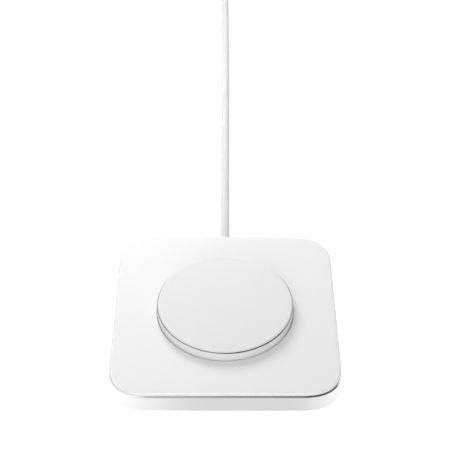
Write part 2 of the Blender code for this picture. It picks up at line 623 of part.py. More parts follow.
def make_plug():
    """The moulded plug with its tapered boot, the steel shell and the contact insert in it."""
    start, boot = PLUG_START.y, PLUG_START.y + BOOT_LENGTH
    end = start + PLUG_LENGTH
    edge = PLUG_HALF_HEIGHT / 5
    tip = CORD_RADIUS + SLEEVE_TIP_WALL
    sections = [(start, tip, tip, 2), (boot - edge, tip + SLEEVE_WALL, tip + SLEEVE_TIP_WALL, 2),
                (boot, PLUG_HALF_WIDTH - edge, PLUG_HALF_HEIGHT - edge, PLUG_POWER),
                (boot + edge, PLUG_HALF_WIDTH, PLUG_HALF_HEIGHT, PLUG_POWER),
                (end - edge, PLUG_HALF_WIDTH, PLUG_HALF_HEIGHT, PLUG_POWER),
                (end, PLUG_HALF_WIDTH - edge, PLUG_HALF_HEIGHT - edge, PLUG_POWER)]
    plug_rings("plug_body", sections, white)
    mouth = end + GAP + SHELL_LENGTH
    back = end + GAP + SHELL_WALL
    inner_w, inner_h = SHELL_HALF_WIDTH - SHELL_WALL, SHELL_HALF_HEIGHT - SHELL_WALL
    sections = [(end + GAP, SHELL_HALF_WIDTH, SHELL_HALF_HEIGHT, PLUG_POWER),
                (mouth, SHELL_HALF_WIDTH, SHELL_HALF_HEIGHT, PLUG_POWER),
                (mouth, inner_w, inner_h, PLUG_POWER), (back, inner_w, inner_h, PLUG_POWER)]
    plug_rings("plug_shell", sections, nickel)
    width, height = inner_w - GAP, inner_h - GAP / 2
    thin_w, thin_h = width - SHELL_WALL, height - SHELL_WALL
    sections = [(back + GAP, width, height, PLUG_POWER), (mouth - SLACK, width, height, PLUG_POWER),
                (mouth - SLACK, thin_w, thin_h, PLUG_POWER), (back + 2 * GAP, thin_w, thin_h, PLUG_POWER)]
    plug_rings("plug_insert", sections, chip)


clear_scene()

silver = finish("satin_silver", (0.80, 0.80, 0.81), 0.35, 1.0)
polished = finish("polished_steel", (0.55, 0.55, 0.56), 0.12, 1.0)
glass = finish("white_backed_glass", (0.86, 0.86, 0.86), 0.08, 0.0)
white = finish("soft_white_polymer", (0.84, 0.84, 0.84), 0.45, 0.0)
cord_white = finish("white_cord_sheath", (0.80, 0.80, 0.80), 0.6, 0.0)
rubber = finish("grey_rubber", (0.25, 0.25, 0.26), 0.8, 0.0)
steel = finish("zinc_steel", (0.62, 0.62, 0.64), 0.35, 1.0)
nickel = finish("nickel_plate", (0.70, 0.69, 0.66), 0.2, 1.0)
magnet = finish("nickelled_magnet", (0.66, 0.65, 0.62), 0.25, 1.0)
copper = finish("enamelled_copper", (0.72, 0.38, 0.20), 0.35, 1.0)
ferrite = finish("ferrite", (0.08, 0.08, 0.09), 0.6, 0.0)
board = finish("green_laminate", (0.04, 0.18, 0.09), 0.4, 0.0)
chip = finish("black_epoxy", (0.03, 0.03, 0.03), 0.5, 0.0)
adhesive = finish("adhesive_film", (0.20, 0.20, 0.20), 0.7, 0.0)
helper = finish("helper", (1.0, 0.4, 0.1), 1.0, 0.0)

BASE_TIP = PLATE_BOTTOM + BASE_HEAD_HEIGHT + BASE_SCREW_REACH
BOARD_TIP = DECK_BOTTOM
BOARD_SCREWS = [(side * (BOARD_LENGTH / 2 - BOARD_SCREW_INSET), side * (BOARD_WIDTH / 2 - BOARD_SCREW_INSET))
                for side in (1, -1)]
PUCK_SCREWS = [(PUCK_SCREW_CIRCLE * math.cos(math.radians(90 + 120 * i)),
                PUCK_SCREW_CIRCLE * math.sin(math.radians(90 + 120 * i))) for i in range(3)]
# Name, middle (x, y), size, finish of what is soldered under the board
SOLDERED = [
    ("controller_chip", (-0.0120, 0.0050), (0.0070, 0.0070, 0.0009), chip),
    ("power_chip", (0.0110, 0.0030), (0.0050, 0.0050, 0.0009), chip),
    ("power_inductor", (0.0130, -0.0080), (0.0066, 0.0066, 0.0014), ferrite),
    ("shield_can", (-0.0040, -0.0070), (0.0120, 0.0090, 0.0012), nickel),
    ("capacitor_1", (0.0040, -0.0040), (0.0032, 0.0025, 0.0013), adhesive),
    ("capacitor_2", (0.0040, -0.0095), (0.0032, 0.0025, 0.0013), adhesive),
    ("board_connector", (0.0, 0.0120), (0.0080, 0.0050, 0.0014), white),
]

make_chassis()
make_top()
make_base()
make_puck()
make_magnets()
make_coil_stack()
make_electronics()
make_cord_entry()
make_cord()
make_plug()
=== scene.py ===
import json
import math

import bmesh
import bpy
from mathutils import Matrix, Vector


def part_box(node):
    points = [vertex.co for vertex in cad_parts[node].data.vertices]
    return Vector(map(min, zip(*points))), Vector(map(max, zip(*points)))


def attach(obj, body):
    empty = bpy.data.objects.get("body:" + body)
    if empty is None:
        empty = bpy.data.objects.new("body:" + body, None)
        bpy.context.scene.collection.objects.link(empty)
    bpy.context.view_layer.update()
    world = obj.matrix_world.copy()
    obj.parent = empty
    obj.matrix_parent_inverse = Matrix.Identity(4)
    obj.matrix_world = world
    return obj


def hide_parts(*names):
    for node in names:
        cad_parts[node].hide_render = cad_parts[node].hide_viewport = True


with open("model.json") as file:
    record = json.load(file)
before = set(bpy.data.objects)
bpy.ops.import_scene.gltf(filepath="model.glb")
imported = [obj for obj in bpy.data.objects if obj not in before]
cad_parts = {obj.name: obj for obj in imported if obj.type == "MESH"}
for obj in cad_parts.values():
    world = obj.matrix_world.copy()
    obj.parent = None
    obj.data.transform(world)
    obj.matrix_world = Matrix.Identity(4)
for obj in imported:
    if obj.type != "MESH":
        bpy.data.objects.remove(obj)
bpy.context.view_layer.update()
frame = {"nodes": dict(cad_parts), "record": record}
print("frame:", len(frame["nodes"]), "nodes")


# Small moves that every piece below is modelled with

def letGo():
    if bpy.context.mode != "OBJECT":
        bpy.ops.object.mode_set(mode="OBJECT")
    bpy.ops.object.select_all(action="DESELECT")


def takeUp(piece, edit=False):
    letGo()
    piece.select_set(True)
    bpy.context.view_layer.objects.active = piece
    if edit:
        bpy.ops.object.mode_set(mode="EDIT")


def callIt(name):
    piece = bpy.context.object
    piece.name = name
    piece.data.name = name
    bpy.ops.object.transform_apply(location=True, rotation=True, scale=True)
    return piece


def pick(piece, kind, wanted):
    # leaves only the faces or edges that are wanted selected
    bpy.ops.mesh.select_mode(type="FACE" if kind == "faces" else "EDGE")
    bpy.ops.mesh.select_all(action="DESELECT")
    mesh = bmesh.from_edit_mesh(piece.data)
    mesh.normal_update()
    for part in getattr(mesh, kind):
        if wanted(part):
            part.select_set(True)
    mesh.select_flush_mode()
    bmesh.update_edit_mesh(piece.data)


def facing(axis, way, place=None):
    # a test for flat faces that look one way, at a height or distance along that axis
    def wanted(face):
        looks = face.normal[axis] * way > 0.99
        return looks and (place is None or abs(face.calc_center_median()[axis] - place) < tiny)
    return wanted


def rimAt(axis, place, sharp=50):
    # a test for sharp edges that lie in one plane
    def wanted(edge):
        flat = all(abs(vert.co[axis] - place) < tiny for vert in edge.verts)
        return flat and len(edge.link_faces) == 2 and edge.calc_face_angle() > math.radians(sharp)
    return wanted


def openEdge(edge):
    return len(edge.link_faces) == 1


def soften(piece, radius, segments, wanted):
    pick(piece, "edges", wanted)
    bpy.ops.mesh.bevel(offset=radius, segments=segments, profile=0.5, affect="EDGES")


def pull(distance, axis=2):
    move = [0, 0, 0]
    move[axis] = distance
    bpy.ops.mesh.extrude_region_move(TRANSFORM_OT_translate={"value": move})


def openThrough(piece, top, bottom, topInset, bottomInset, axis=2):
    # turns a slab into a frame: both ends are inset and taken out, then the holes are bridged
    for place, way, inset in ((top, 1, topInset), (bottom, -1, bottomInset)):
        pick(piece, "faces", facing(axis, way, place))
        bpy.ops.mesh.inset(thickness=inset)
        bpy.ops.mesh.delete(type="FACE")
    pick(piece, "edges", openEdge)
    bpy.ops.mesh.bridge_edge_loops()


def combine(piece, tool, operation):
    takeUp(piece)
    bpy.ops.object.modifier_add(type="BOOLEAN")
    change = piece.modifiers[-1]
    change.operation = operation
    change.object = tool
    bpy.ops.object.modifier_apply(modifier=change.name)
    bpy.data.objects.remove(tool)


def rod(radius, start, end, centre, axis=2, vertices=64):
    # a plain round bar, to join on or to cut with
    place = list(centre)
    place.insert(axis, (start + end) / 2)
    turn = (0, 0, 0) if axis == 2 else (math.pi / 2, 0, 0)
    letGo()
    bpy.ops.mesh.primitive_cylinder_add(vertices=vertices, radius=radius, depth=abs(end - start),
                                        location=place, rotation=turn)
    return callIt("rod")


def polish(piece, slotName, replaced, angle=32):
    # outward faces, smooth shading that keeps the flats flat, then the finish and its body
    takeUp(piece, edit=True)
    bpy.ops.mesh.select_all(action="SELECT")
    bpy.ops.mesh.remove_doubles(threshold=1e-7)
    bpy.ops.mesh.normals_make_consistent(inside=False)
    bpy.ops.object.mode_set(mode="OBJECT")
    bpy.ops.object.shade_smooth_by_angle(angle=math.radians(angle))
    bpy.ops.object.modifier_add(type="WEIGHTED_NORMAL")
    piece.modifiers[-1].keep_sharp = True
    bpy.ops.object.modifier_apply(modifier=piece.modifiers[-1].name)
    ready(piece, slotName, replaced)


def ready(piece, slotName, replaced):
    piece.data.materials.clear()
    piece.data.materials.append(finishes[slotName])
    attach(piece, "root")
    if replaced:
        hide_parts(*replaced)
    print("made", piece.name)


tiny = 2e-6
gap = 0.0003            # between pieces that don't touch
above = 0.03            # higher than the whole pad, for cutters that go right through


# The camera comes first: a long lens in front of the pad that looks down at it

view = {
    "place": (-0.0001, -0.3447, 0.3560),
    "tilt": 49.0,           # degrees up from looking straight down
    "lens": 94.4,
    "sensor": 36,
}

letGo()
bpy.ops.object.camera_add(location=view["place"], rotation=(math.radians(view["tilt"]), 0, 0))
camera = bpy.context.object
camera.name = "studioCamera"
camera.data.lens = view["lens"]
camera.data.sensor_width = view["sensor"]
camera.data.dof.use_dof = False
bpy.context.scene.camera = camera
bpy.context.scene.view_settings.view_transform = "Standard"
print("camera ready")


# Shader maths written as plain expressions

class Wire:
    # wraps one output of a node, so that + - * / and ** add Math nodes

    def __init__(self, recipe, socket):
        self.recipe = recipe
        self.socket = socket

    def __add__(self, other):
        return self.recipe.maths("ADD", self, other)

    def __sub__(self, other):
        return self.recipe.maths("SUBTRACT", self, other)

    def __rsub__(self, other):
        return self.recipe.maths("SUBTRACT", other, self)

    def __mul__(self, other):
        return self.recipe.maths("MULTIPLY", self, other)

    def __truediv__(self, other):
        return self.recipe.maths("DIVIDE", self, other)

    def __rtruediv__(self, other):
        return self.recipe.maths("DIVIDE", other, self)

    def __pow__(self, other):
        return self.recipe.maths("POWER", self, other)

    __radd__ = __add__
    __rmul__ = __mul__


class Recipe:
    # one material: a Principled shader, its constants, and the nodes that vary it

    def __init__(self, name, colour, roughness, metallic=0, constants=None):
        self.material = bpy.data.materials.new(name)
        self.material.use_nodes = True
        self.tree = self.material.node_tree
        self.shader = self.tree.nodes["Principled BSDF"]
        self.colour = colour
        self.vary("Base Color", (*colour, 1))
        self.vary("Roughness", roughness)
        self.vary("Metallic", metallic)
        for socketName, value in (constants or {}).items():
            self.vary(socketName, value)

    def vary(self, socketName, value):
        self.feed(self.shader.inputs[socketName], value)

    def feed(self, socket, value):
        if isinstance(value, Wire):
            self.tree.links.new(value.socket, socket)
        else:
            socket.default_value = value

    def add(self, kind, settings=None, values=None, output=0):
        node = self.tree.nodes.new(kind)
        for name, value in (settings or {}).items():
            setattr(node, name, value)
        for name, value in (values or {}).items():
            self.feed(node.inputs[name], value)
        return Wire(self, node.outputs[output])

    def maths(self, operation, first, second):
        return self.add("ShaderNodeMath", {"operation": operation}, {0: first, 1: second})

    def place(self):
        return self.add("ShaderNodeTexCoord", output="Object")

    def noise(self, size, detail=2.0, where=None):
        # size is how wide one cloud of the noise is, in metres
        return self.add("ShaderNodeTexNoise", None,
                        {"Vector": where or self.place(), "Scale": 1 / size, "Detail": detail})

    def blend(self, share, first, second):
        return self.add("ShaderNodeMix", {"data_type": "RGBA"},
                        {0: share, 6: (*first, 1), 7: (*second, 1)}, output=2)

    def tone(self, share, spread):
        # the base colour, a little darker to a little lighter
        darker = [channel * (1 - spread) for channel in self.colour]
        lighter = [min(1, channel * (1 + spread)) for channel in self.colour]
        self.vary("Base Color", self.blend(share, darker, lighter))

    def bump(self, height, depth):
        self.vary("Normal", self.add("ShaderNodeBump", None,
                                     {"Strength": 1.0, "Distance": depth, "Height": height}))

    def split(self, output):
        return self.add("ShaderNodeSeparateXYZ", None, {"Vector": self.place()}, output)

    def ramp(self, value, start, end):
        return self.add("ShaderNodeMapRange", {"interpolation_type": "SMOOTHSTEP"},
                        {"Value": value, "From Min": start, "From Max": end})

    def shine(self, shade):
        # grey light of its own, and no reflections
        self.vary("Emission Color", self.add("ShaderNodeCombineColor", None, {0: shade, 1: shade, 2: shade}))
        self.vary("Emission Strength", 1)
        self.vary("Specular IOR Level", 0)


def satinSilver():
    # blasted aluminium: bright, with a fine even grain and a faint cloudiness from the bath
    recipe = Recipe("satinSilver", satin["colour"], satin["roughness"], 1)
    grain = recipe.noise(satin["grain"], 3)
    cloud = recipe.noise(satin["cloud"])
    recipe.tone(cloud, 0.03)
    recipe.vary("Roughness", satin["roughness"] + 0.10 * (grain - 0.5) + 0.04 * (cloud - 0.5))
    recipe.bump(grain, satin["depth"])
    return recipe.material


def polishedSteel(name, colour):
    # mirror-like, with the faint haze and the fine lines that a polishing wheel leaves
    recipe = Recipe(name, colour, chrome["roughness"], 1)
    stretched = recipe.add("ShaderNodeMapping", None,
                           {"Vector": recipe.place(), "Scale": (1, 1, chrome["stretch"])})
    lines = recipe.noise(chrome["line"], 1, stretched)
    haze = recipe.noise(chrome["haze"])
    recipe.tone(haze, 0.03)
    recipe.vary("Roughness", chrome["roughness"] + 0.05 * (lines - 0.5) + 0.04 * (haze - 0.5))
    recipe.bump(lines, chrome["depth"])
    return recipe.material


def whiteBackedGlass():
    # clear glass over white enamel: a glossy coat, the enamel's fine mottling and wiped-on smears
    recipe = Recipe("whiteBackedGlass", enamel["colour"], enamel["roughness"], 0,
                    {"IOR": 1.5, "Coat Weight": 1.0, "Coat Roughness": enamel["coat"], "Coat IOR": 1.5})
    mottle = recipe.noise(enamel["mottle"], 3)
    smear = recipe.add("ShaderNodeMapping", None,
                       {"Vector": recipe.place(), "Rotation": (0, 0, 0.5), "Scale": (1, 4, 1)})
    wiped = recipe.noise(enamel["smear"], 4, smear)
    recipe.tone(mottle, 0.006)
    recipe.vary("Roughness", enamel["roughness"] + 0.08 * (wiped - 0.5))
    return recipe.material


def softWhitePolymer():
    # matt moulded polymer with a very fine spark-eroded texture
    recipe = Recipe("softWhitePolymer", polymer["colour"], polymer["roughness"], 0, {"IOR": 1.45})
    grain = recipe.noise(polymer["grain"], 2)
    cloud = recipe.noise(polymer["cloud"])
    recipe.tone(cloud, 0.01)
    recipe.vary("Roughness", polymer["roughness"] + 0.12 * (grain - 0.5))
    recipe.bump(grain, polymer["depth"])
    return recipe.material


def whiteCordSheath():
    # soft matt jacket: fine grain, and slow changes in gloss where hands have pulled it straight
    recipe = Recipe("whiteCordSheath", sheath["colour"], sheath["roughness"], 0, {"IOR": 1.45})
    grain = recipe.noise(sheath["grain"], 2)
    handled = recipe.noise(sheath["handled"])
    recipe.tone(handled, 0.015)
    recipe.vary("Roughness", sheath["roughness"] + 0.10 * (grain - 0.5) + 0.08 * (handled - 0.5))
    recipe.bump(grain, sheath["depth"])
    return recipe.material


def greyRubber():
    recipe = Recipe("greyRubber", (0.42, 0.42, 0.42), 0.75)
    pebble = recipe.noise(0.00025, 3)
    dust = recipe.noise(0.006, 4)
    recipe.tone(dust, 0.08)
    recipe.vary("Roughness", 0.75 + 0.14 * (dust - 0.5))
    recipe.bump(pebble, 0.00002)
    return recipe.material


def zincSteel():
    # zinc plate: pale blue grey with darker spangles and a slightly uneven gloss
    recipe = Recipe("zincSteel", (0.60, 0.61, 0.63), 0.34, 1)
    spangle = recipe.add("ShaderNodeTexVoronoi", {"feature": "F1"},
                         {"Vector": recipe.place(), "Scale": 700.0})
    grain = recipe.noise(0.00018, 3)
    recipe.tone(spangle, 0.12)
    recipe.vary("Roughness", 0.28 + 0.12 * spangle + 0.06 * grain)
    recipe.bump(grain, 0.000006)
    return recipe.material


def nickelPlate():
    recipe = Recipe("nickelPlate", (0.70, 0.69, 0.66), 0.20, 1)
    drawn = recipe.add("ShaderNodeMapping", None, {"Vector": recipe.place(), "Scale": (8, 1, 8)})
    lines = recipe.noise(0.0006, 2, drawn)
    recipe.tone(lines, 0.05)
    recipe.vary("Roughness", 0.17 + 0.10 * lines)
    recipe.bump(lines, 0.000003)
    return recipe.material


def nickelledMagnet():
    recipe = Recipe("nickelledMagnet", (0.64, 0.63, 0.60), 0.24, 1)
    pits = recipe.noise(0.0003, 4)
    recipe.tone(pits, 0.06)
    recipe.vary("Roughness", 0.18 + 0.14 * pits)
    recipe.bump(pits, 0.000006)
    return recipe.material


def enamelledCopper():
    # a flat winding: fine rings of wire under clear enamel
    recipe = Recipe("enamelledCopper", (0.74, 0.36, 0.18), 0.30, 1, {"Coat Weight": 0.6})
    rings = recipe.add("ShaderNodeTexWave",
                       {"wave_type": "RINGS", "rings_direction": "Z", "wave_profile": "SIN"},
                       {"Vector": recipe.place(), "Scale": 230.0})
    recipe.vary("Base Color", recipe.blend(rings, (0.30, 0.12, 0.05), (0.80, 0.42, 0.22)))
    recipe.vary("Roughness", 0.42 - 0.16 * rings)
    recipe.bump(rings, 0.00015)
    return recipe.material


def ferritePlate():
    recipe = Recipe("ferritePlate", (0.06, 0.06, 0.065), 0.55, 0.3)
    cells = recipe.add("ShaderNodeTexVoronoi", {"feature": "DISTANCE_TO_EDGE"},
                       {"Vector": recipe.place(), "Scale": 260.0})
    crack = 1 - cells ** 0.2
    recipe.tone(crack, 0.3)
    recipe.vary("Roughness", 0.45 + 0.3 * crack)
    recipe.bump(cells, 0.00003)
    return recipe.material


def greenLaminate():
    # solder mask over glass weave, with a woven height and paler copper ground fill
    recipe = Recipe("greenLaminate", (0.03, 0.17, 0.08), 0.32, 0, {"Coat Weight": 0.4})
    tracks = recipe.add("ShaderNodeTexBrick", {"offset": 0.5},
                        {"Vector": recipe.place(), "Scale": 420.0, "Mortar Size": 0.06}, output=1)
    weave = recipe.noise(0.0005, 1)
    recipe.vary("Base Color", recipe.blend(tracks, (0.025, 0.15, 0.07), (0.08, 0.30, 0.14)))
    recipe.vary("Roughness", 0.28 + 0.12 * weave)
    recipe.bump(tracks, 0.00003)
    return recipe.material


def blackEpoxy():
    recipe = Recipe("blackEpoxy", (0.025, 0.025, 0.027), 0.5)
    grain = recipe.noise(0.00015, 3)
    recipe.tone(grain, 0.3)
    recipe.vary("Roughness", 0.42 + 0.2 * grain)
    recipe.bump(grain, 0.00001)
    return recipe.material


def adhesiveFilm():
    recipe = Recipe("adhesiveFilm", (0.16, 0.16, 0.16), 0.7)
    fibre = recipe.noise(0.0008, 5)
    recipe.tone(fibre, 0.25)
    recipe.vary("Roughness", 0.6 + 0.25 * fibre)
    recipe.bump(fibre, 0.00003)
    return recipe.material


satin = {"colour": (0.70, 0.70, 0.70), "roughness": 0.38, "grain": 0.00016, "cloud": 0.012, "depth": 0.000012}
# chrome's "dark" colour is painted shade: the puck ring is darkened to stand in for the shadow of the gap at
# the face's edge
chrome = {"colour": (0.92, 0.92, 0.92), "dark": (0.36, 0.36, 0.37), "roughness": 0.10, "line": 0.0005,
          "stretch": 12, "haze": 0.008, "depth": 0.000002}
enamel = {"colour": (0.85, 0.85, 0.85), "roughness": 0.30, "coat": 0.04, "mottle": 0.0006, "smear": 0.02}
polymer = {"colour": (0.81, 0.81, 0.81), "roughness": 0.52, "grain": 0.00014, "cloud": 0.01, "depth": 0.00001}
sheath = {"colour": (0.68, 0.68, 0.68), "roughness": 0.58, "grain": 0.0002, "handled": 0.03, "depth": 0.00001}

finishes = {
    "satin_silver": satinSilver(),
    "polished_steel": polishedSteel("polishedSteel", chrome["colour"]),
    "white_backed_glass": whiteBackedGlass(),
    "soft_white_polymer": softWhitePolymer(),
    "white_cord_sheath": whiteCordSheath(),
    "grey_rubber": greyRubber(),
    "zinc_steel": zincSteel(),
    "nickel_plate": nickelPlate(),
    "nickelled_magnet": nickelledMagnet(),
    "enamelled_copper": enamelledCopper(),
    "ferrite": ferritePlate(),
    "green_laminate": greenLaminate(),
    "black_epoxy": blackEpoxy(),
    "adhesive_film": adhesiveFilm(),
}
# the puck ring's steel, darkened as painted shade for the gap at the edge of the puck's face
ringSteelPaintedShade = polishedSteel("polishedSteelPaintedShade", chrome["dark"])
print("finishes ready:", len(finishes))


# Levels that the pieces share, read from the frame

bodyLow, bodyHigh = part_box("chassis")
trimLow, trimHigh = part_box("edge_trim")
glassLow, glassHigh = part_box("top_panel")
puckLow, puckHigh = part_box("puck_housing")
ringLow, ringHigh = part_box("puck_ring")
faceLow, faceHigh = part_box("puck_face")
plateLow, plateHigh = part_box("base_plate")
footLow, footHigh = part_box("foot_pad")
sleeveLow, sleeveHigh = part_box("strain_relief")
plugLow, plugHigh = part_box("plug_body")
half = trimHigh.x
exitHeight = (sleeveLow.z + sleeveHigh.z) / 2

outline = {
    "corner": 0.0170,       # from the straight side to the end of the corner
    "power": 2.6,           # 2 is a round corner, more is squarer
    "segments": 28,
}


def slab(name, inset, low, high):
    # the pad's outline as a slab between two levels, left in edit mode
    width = 2 * (half - inset)
    letGo()
    bpy.ops.mesh.primitive_cube_add(size=1, location=(0, 0, (low + high) / 2),
                                    scale=(width, width, high - low))
    made = callIt(name)
    takeUp(made, edit=True)
    pick(made, "edges", lambda edge: abs(edge.verts[0].co.z - edge.verts[1].co.z) > tiny)
    bpy.ops.mesh.bevel(offset=outline["corner"] - inset, segments=outline["segments"],
                       profile=4 ** (-1 / outline["power"]), affect="EDGES")
    return made


# The cord: straight back over the desk, thirteen turns in four rows, and up to its plug

cordFacts = {
    "radius": 0.0018,
    "length": 2.0,
    "start": 0.0480,        # inside the sleeve's mouth
    "mouth": 0.0535,        # where it comes out of the sleeve
    "intoPlug": 0.0012,
    "coilMiddle": (-0.02645, 0.3000),
    "turnRadius": 0.0205,
    "spread": 0.0119,
    "rows": 4,
    "turns": 13,
    "lowest": 0.0001,       # under the first row
    "rowPitch": 0.00365,
    "pointsPerTurn": 20,
    "climb": 0.16,          # turns that the cord takes to step up to the next row, each side
}

# Route of the cord's straight stretch and of its end, the third number is the underside's height
runRoute = [(0, 0.0600, 0.0031), (0, 0.0680, 0.0024), (0, 0.0800, 0.0009), (0, 0.0930, 0.00015),
            (0.0001, 0.1100, 0.0001), (0.0002, 0.1500, 0.0001), (0.0003, 0.2000, 0.0001),
            (0.0002, 0.2400, 0.0001), (0, 0.2700, 0.0001)]
tailRoute = [(0, 0.3200, 0.0106), (0, 0.3280, 0.0077), (0, 0.3360, 0.0042), (0, 0.3430, 0.0020)]


def woundPoints(facts):
    middleX, middleY = facts["coilMiddle"]
    turnsPerRow = facts["turns"] / facts["rows"]
    points = []
    for step in range(facts["turns"] * facts["pointsPerTurn"] + 1):
        turn = step / facts["pointsPerTurn"]
        along = turn / turnsPerRow
        swing = abs(1 - along % 2)                          # outside is 1, inside is 0
        radius = facts["turnRadius"] + facts["spread"] * (swing - 0.5)
        row = min(int(along), facts["rows"] - 1)
        lift = 0.0
        for edge in range(1, facts["rows"]):
            near = (turn - edge * turnsPerRow) / facts["climb"]
            if abs(near) < 1:
                lift = (near + 1) / 2
                lift = lift * lift * (3 - 2 * lift)
                row = edge - 1
        height = facts["lowest"] + facts["radius"] + (row + lift) * facts["rowPitch"]
        angle = 2 * math.pi * turn
        points.append((middleX + radius * math.cos(angle), middleY + radius * math.sin(angle), height))
    return points


def layCord(name, facts, points):
    curve = bpy.data.curves.new(name, "CURVE")
    curve.dimensions = "3D"
    curve.bevel_depth = facts["radius"]
    curve.bevel_resolution = 6
    curve.resolution_u = 5
    curve.use_fill_caps = True
    spline = curve.splines.new("BEZIER")
    spline.bezier_points.add(len(points) - 1)
    for slotPoint, point in zip(spline.bezier_points, points):
        slotPoint.co = point
        slotPoint.handle_left_type = slotPoint.handle_right_type = "AUTO"
    cord = bpy.data.objects.new(name, curve)
    bpy.context.scene.collection.objects.link(cord)
    return cord


lifted = [[(x, y, under + cordFacts["radius"]) for x, y, under in route] for route in (runRoute, tailRoute)]
plugAxis = (plugLow.z + plugHigh.z) / 2
cordPoints = [(0, cordFacts["start"], exitHeight), (0, cordFacts["mouth"], exitHeight), *lifted[0],
              *woundPoints(cordFacts), *lifted[1], (0, plugLow.y + cordFacts["intoPlug"], plugAxis)]
cord = layCord("cord", cordFacts, cordPoints)
ready(cord, "white_cord_sheath", ["cord_run", "cord_coil", "cord_tail"])


# The pad's metal body: wall, deck, bosses, and the holes for screws, lead and cord

body = {
    "wall": 0.0020,
    "deck": 0.0012,
    "seam": 0.00012,        # the dark line between the body and the trim
    "lip": 0.0009,
    "lowerEdge": 0.0006,
    "upperEdge": 0.00008,
    "leadHole": 0.0040,
    "boss": 0.0030,
    "bossHole": 0.0015,
    "standoff": 0.0022,
    "smallHole": 0.0012,
    "cordHole": 0.0025,
}


def middleOf(node):
    low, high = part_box(node)
    return (low + high) / 2


def makeBody():
    rim = trimLow.z - body["seam"]
    deckLow = bodyHigh.z - body["deck"]
    made = slab("padBody", 0, bodyLow.z, rim)
    pick(made, "faces", facing(2, 1, rim))
    bpy.ops.mesh.inset(thickness=body["lip"])
    pull(bodyHigh.z - rim)
    pick(made, "faces", facing(2, -1, bodyLow.z))
    bpy.ops.mesh.inset(thickness=body["wall"])
    pull(deckLow - bodyLow.z)
    soften(made, body["lowerEdge"], 5, lambda edge: rimAt(2, bodyLow.z)(edge) and isOuter(edge))
    soften(made, body["upperEdge"], 2, lambda edge: rimAt(2, rim)(edge) and isOuter(edge))
    for number in range(1, 5):
        place = middleOf(f"base_screw_{number}")[:2]
        low = plateHigh.z + gap
        combine(made, rod(body["boss"], low, deckLow + body["deck"] / 2, place), "UNION")
        combine(made, rod(body["bossHole"], 0, deckLow, place, vertices=32), "DIFFERENCE")
    for number in range(1, 3):
        place = middleOf(f"board_screw_{number}")[:2]
        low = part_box("circuit_board")[1].z + gap
        combine(made, rod(body["standoff"], low, deckLow + body["deck"] / 2, place), "UNION")
        combine(made, rod(body["smallHole"], 0, deckLow + gap, place, vertices=32), "DIFFERENCE")
    for number in range(1, 4):
        place = middleOf(f"puck_screw_{number}")[:2]
        combine(made, rod(body["smallHole"], 0, above, place, vertices=32), "DIFFERENCE")
    combine(made, rod(body["leadHole"], 0, above, (0, 0)), "DIFFERENCE")
    bore = rod(body["cordHole"], half - 2 * body["wall"], half + body["wall"], (0, exitHeight), axis=1)
    combine(made, bore, "DIFFERENCE")
    polish(made, "satin_silver", ["chassis"])


def isOuter(edge):
    return all(onOutline(vert.co) for vert in edge.verts)


def onOutline(place):
    # whether a point is on the pad's outline, to a fiftieth of a corner
    reach = half - outline["corner"]
    across, along = (max(0, abs(part) - reach) / outline["corner"] for part in place[:2])
    return abs((across ** outline["power"] + along ** outline["power"]) ** (1 / outline["power"]) - 1) < 0.02


makeBody()


# The polished trim: a flat chamfer that runs round the glass

trim = {"land": 0.00005, "flat": 0.00004}


def makeTrim():
    made = slab("trimRing", 0, trimLow.z, trimHigh.z)
    chamfer = trimHigh.z - trimLow.z - trim["land"]
    pick(made, "edges", rimAt(2, trimHigh.z))
    bpy.ops.mesh.bevel(offset=chamfer - trim["flat"], segments=1, affect="EDGES")
    openThrough(made, trimHigh.z, trimLow.z, trim["flat"], chamfer)
    polish(made, "polished_steel", ["edge_trim"], angle=25)


makeTrim()


# The glass: white on its underside, a rounded upper edge and a round opening for the puck

glass = {"round": 0.0008, "steps": 8, "under": 0.0001, "opening": 0.0283, "lip": 0.00012}


def makeGlass():
    made = slab("glassTop", half - glassHigh.x, glassLow.z, glassHigh.z)
    soften(made, glass["round"], glass["steps"], rimAt(2, glassHigh.z))
    soften(made, glass["under"], 1, rimAt(2, glassLow.z))
    combine(made, rod(glass["opening"], 0, above, (0, 0), vertices=192), "DIFFERENCE")
    takeUp(made, edit=True)
    soften(made, glass["lip"], 2, rimAt(2, glassHigh.z, 70))
    polish(made, "white_backed_glass", ["top_panel"])


makeGlass()


# Under the pad: the plate with its countersunk holes and the rubber foot

base = {"edge": 0.00015, "seat": 0.0023, "hole": 0.0015, "shoulder": 0.0023, "footRound": 0.00025}


def makeBase():
    plate = slab("basePlate", half - plateHigh.x, plateLow.z, plateHigh.z)
    soften(plate, base["edge"], 2, lambda edge: rimAt(2, plateLow.z)(edge) or rimAt(2, plateHigh.z)(edge))
    for number in range(1, 5):
        place = middleOf(f"base_screw_{number}")[:2]
        combine(plate, rod(base["seat"], 0, base["shoulder"], place, vertices=48), "DIFFERENCE")
        combine(plate, rod(base["hole"], 0, above, place, vertices=48), "DIFFERENCE")
    polish(plate, "satin_silver", ["base_plate"])
    foot = slab("rubberFoot", half - footHigh.x, footLow.z, footHigh.z)
    soften(foot, base["footRound"], 3, rimAt(2, footLow.z))
    polish(foot, "grey_rubber", ["foot_pad"])


makeBase()


# The puck: a cup on the deck, its polished ring darkened with painted shade, and its soft face

puck = {
    "wall": 0.0011,
    "floor": 0.0008,
    "foot": 0.0003,
    "topEdge": 0.00006,
    "steps": 224,
    "leadHole": 0.0040,
    "land": 0.00005,
    "ringFlat": 0.00004,
    "faceRound": 0.0008,
    "roundSteps": 8,
    "skirtGap": 0.0003,
    "skirt": 0.0010,
    "thickness": 0.0008,
}


def disc(name, radius, low, high):
    letGo()
    bpy.ops.mesh.primitive_cylinder_add(vertices=puck["steps"], radius=radius, depth=high - low,
                                        location=(0, 0, (low + high) / 2))
    made = callIt(name)
    takeUp(made, edit=True)
    return made


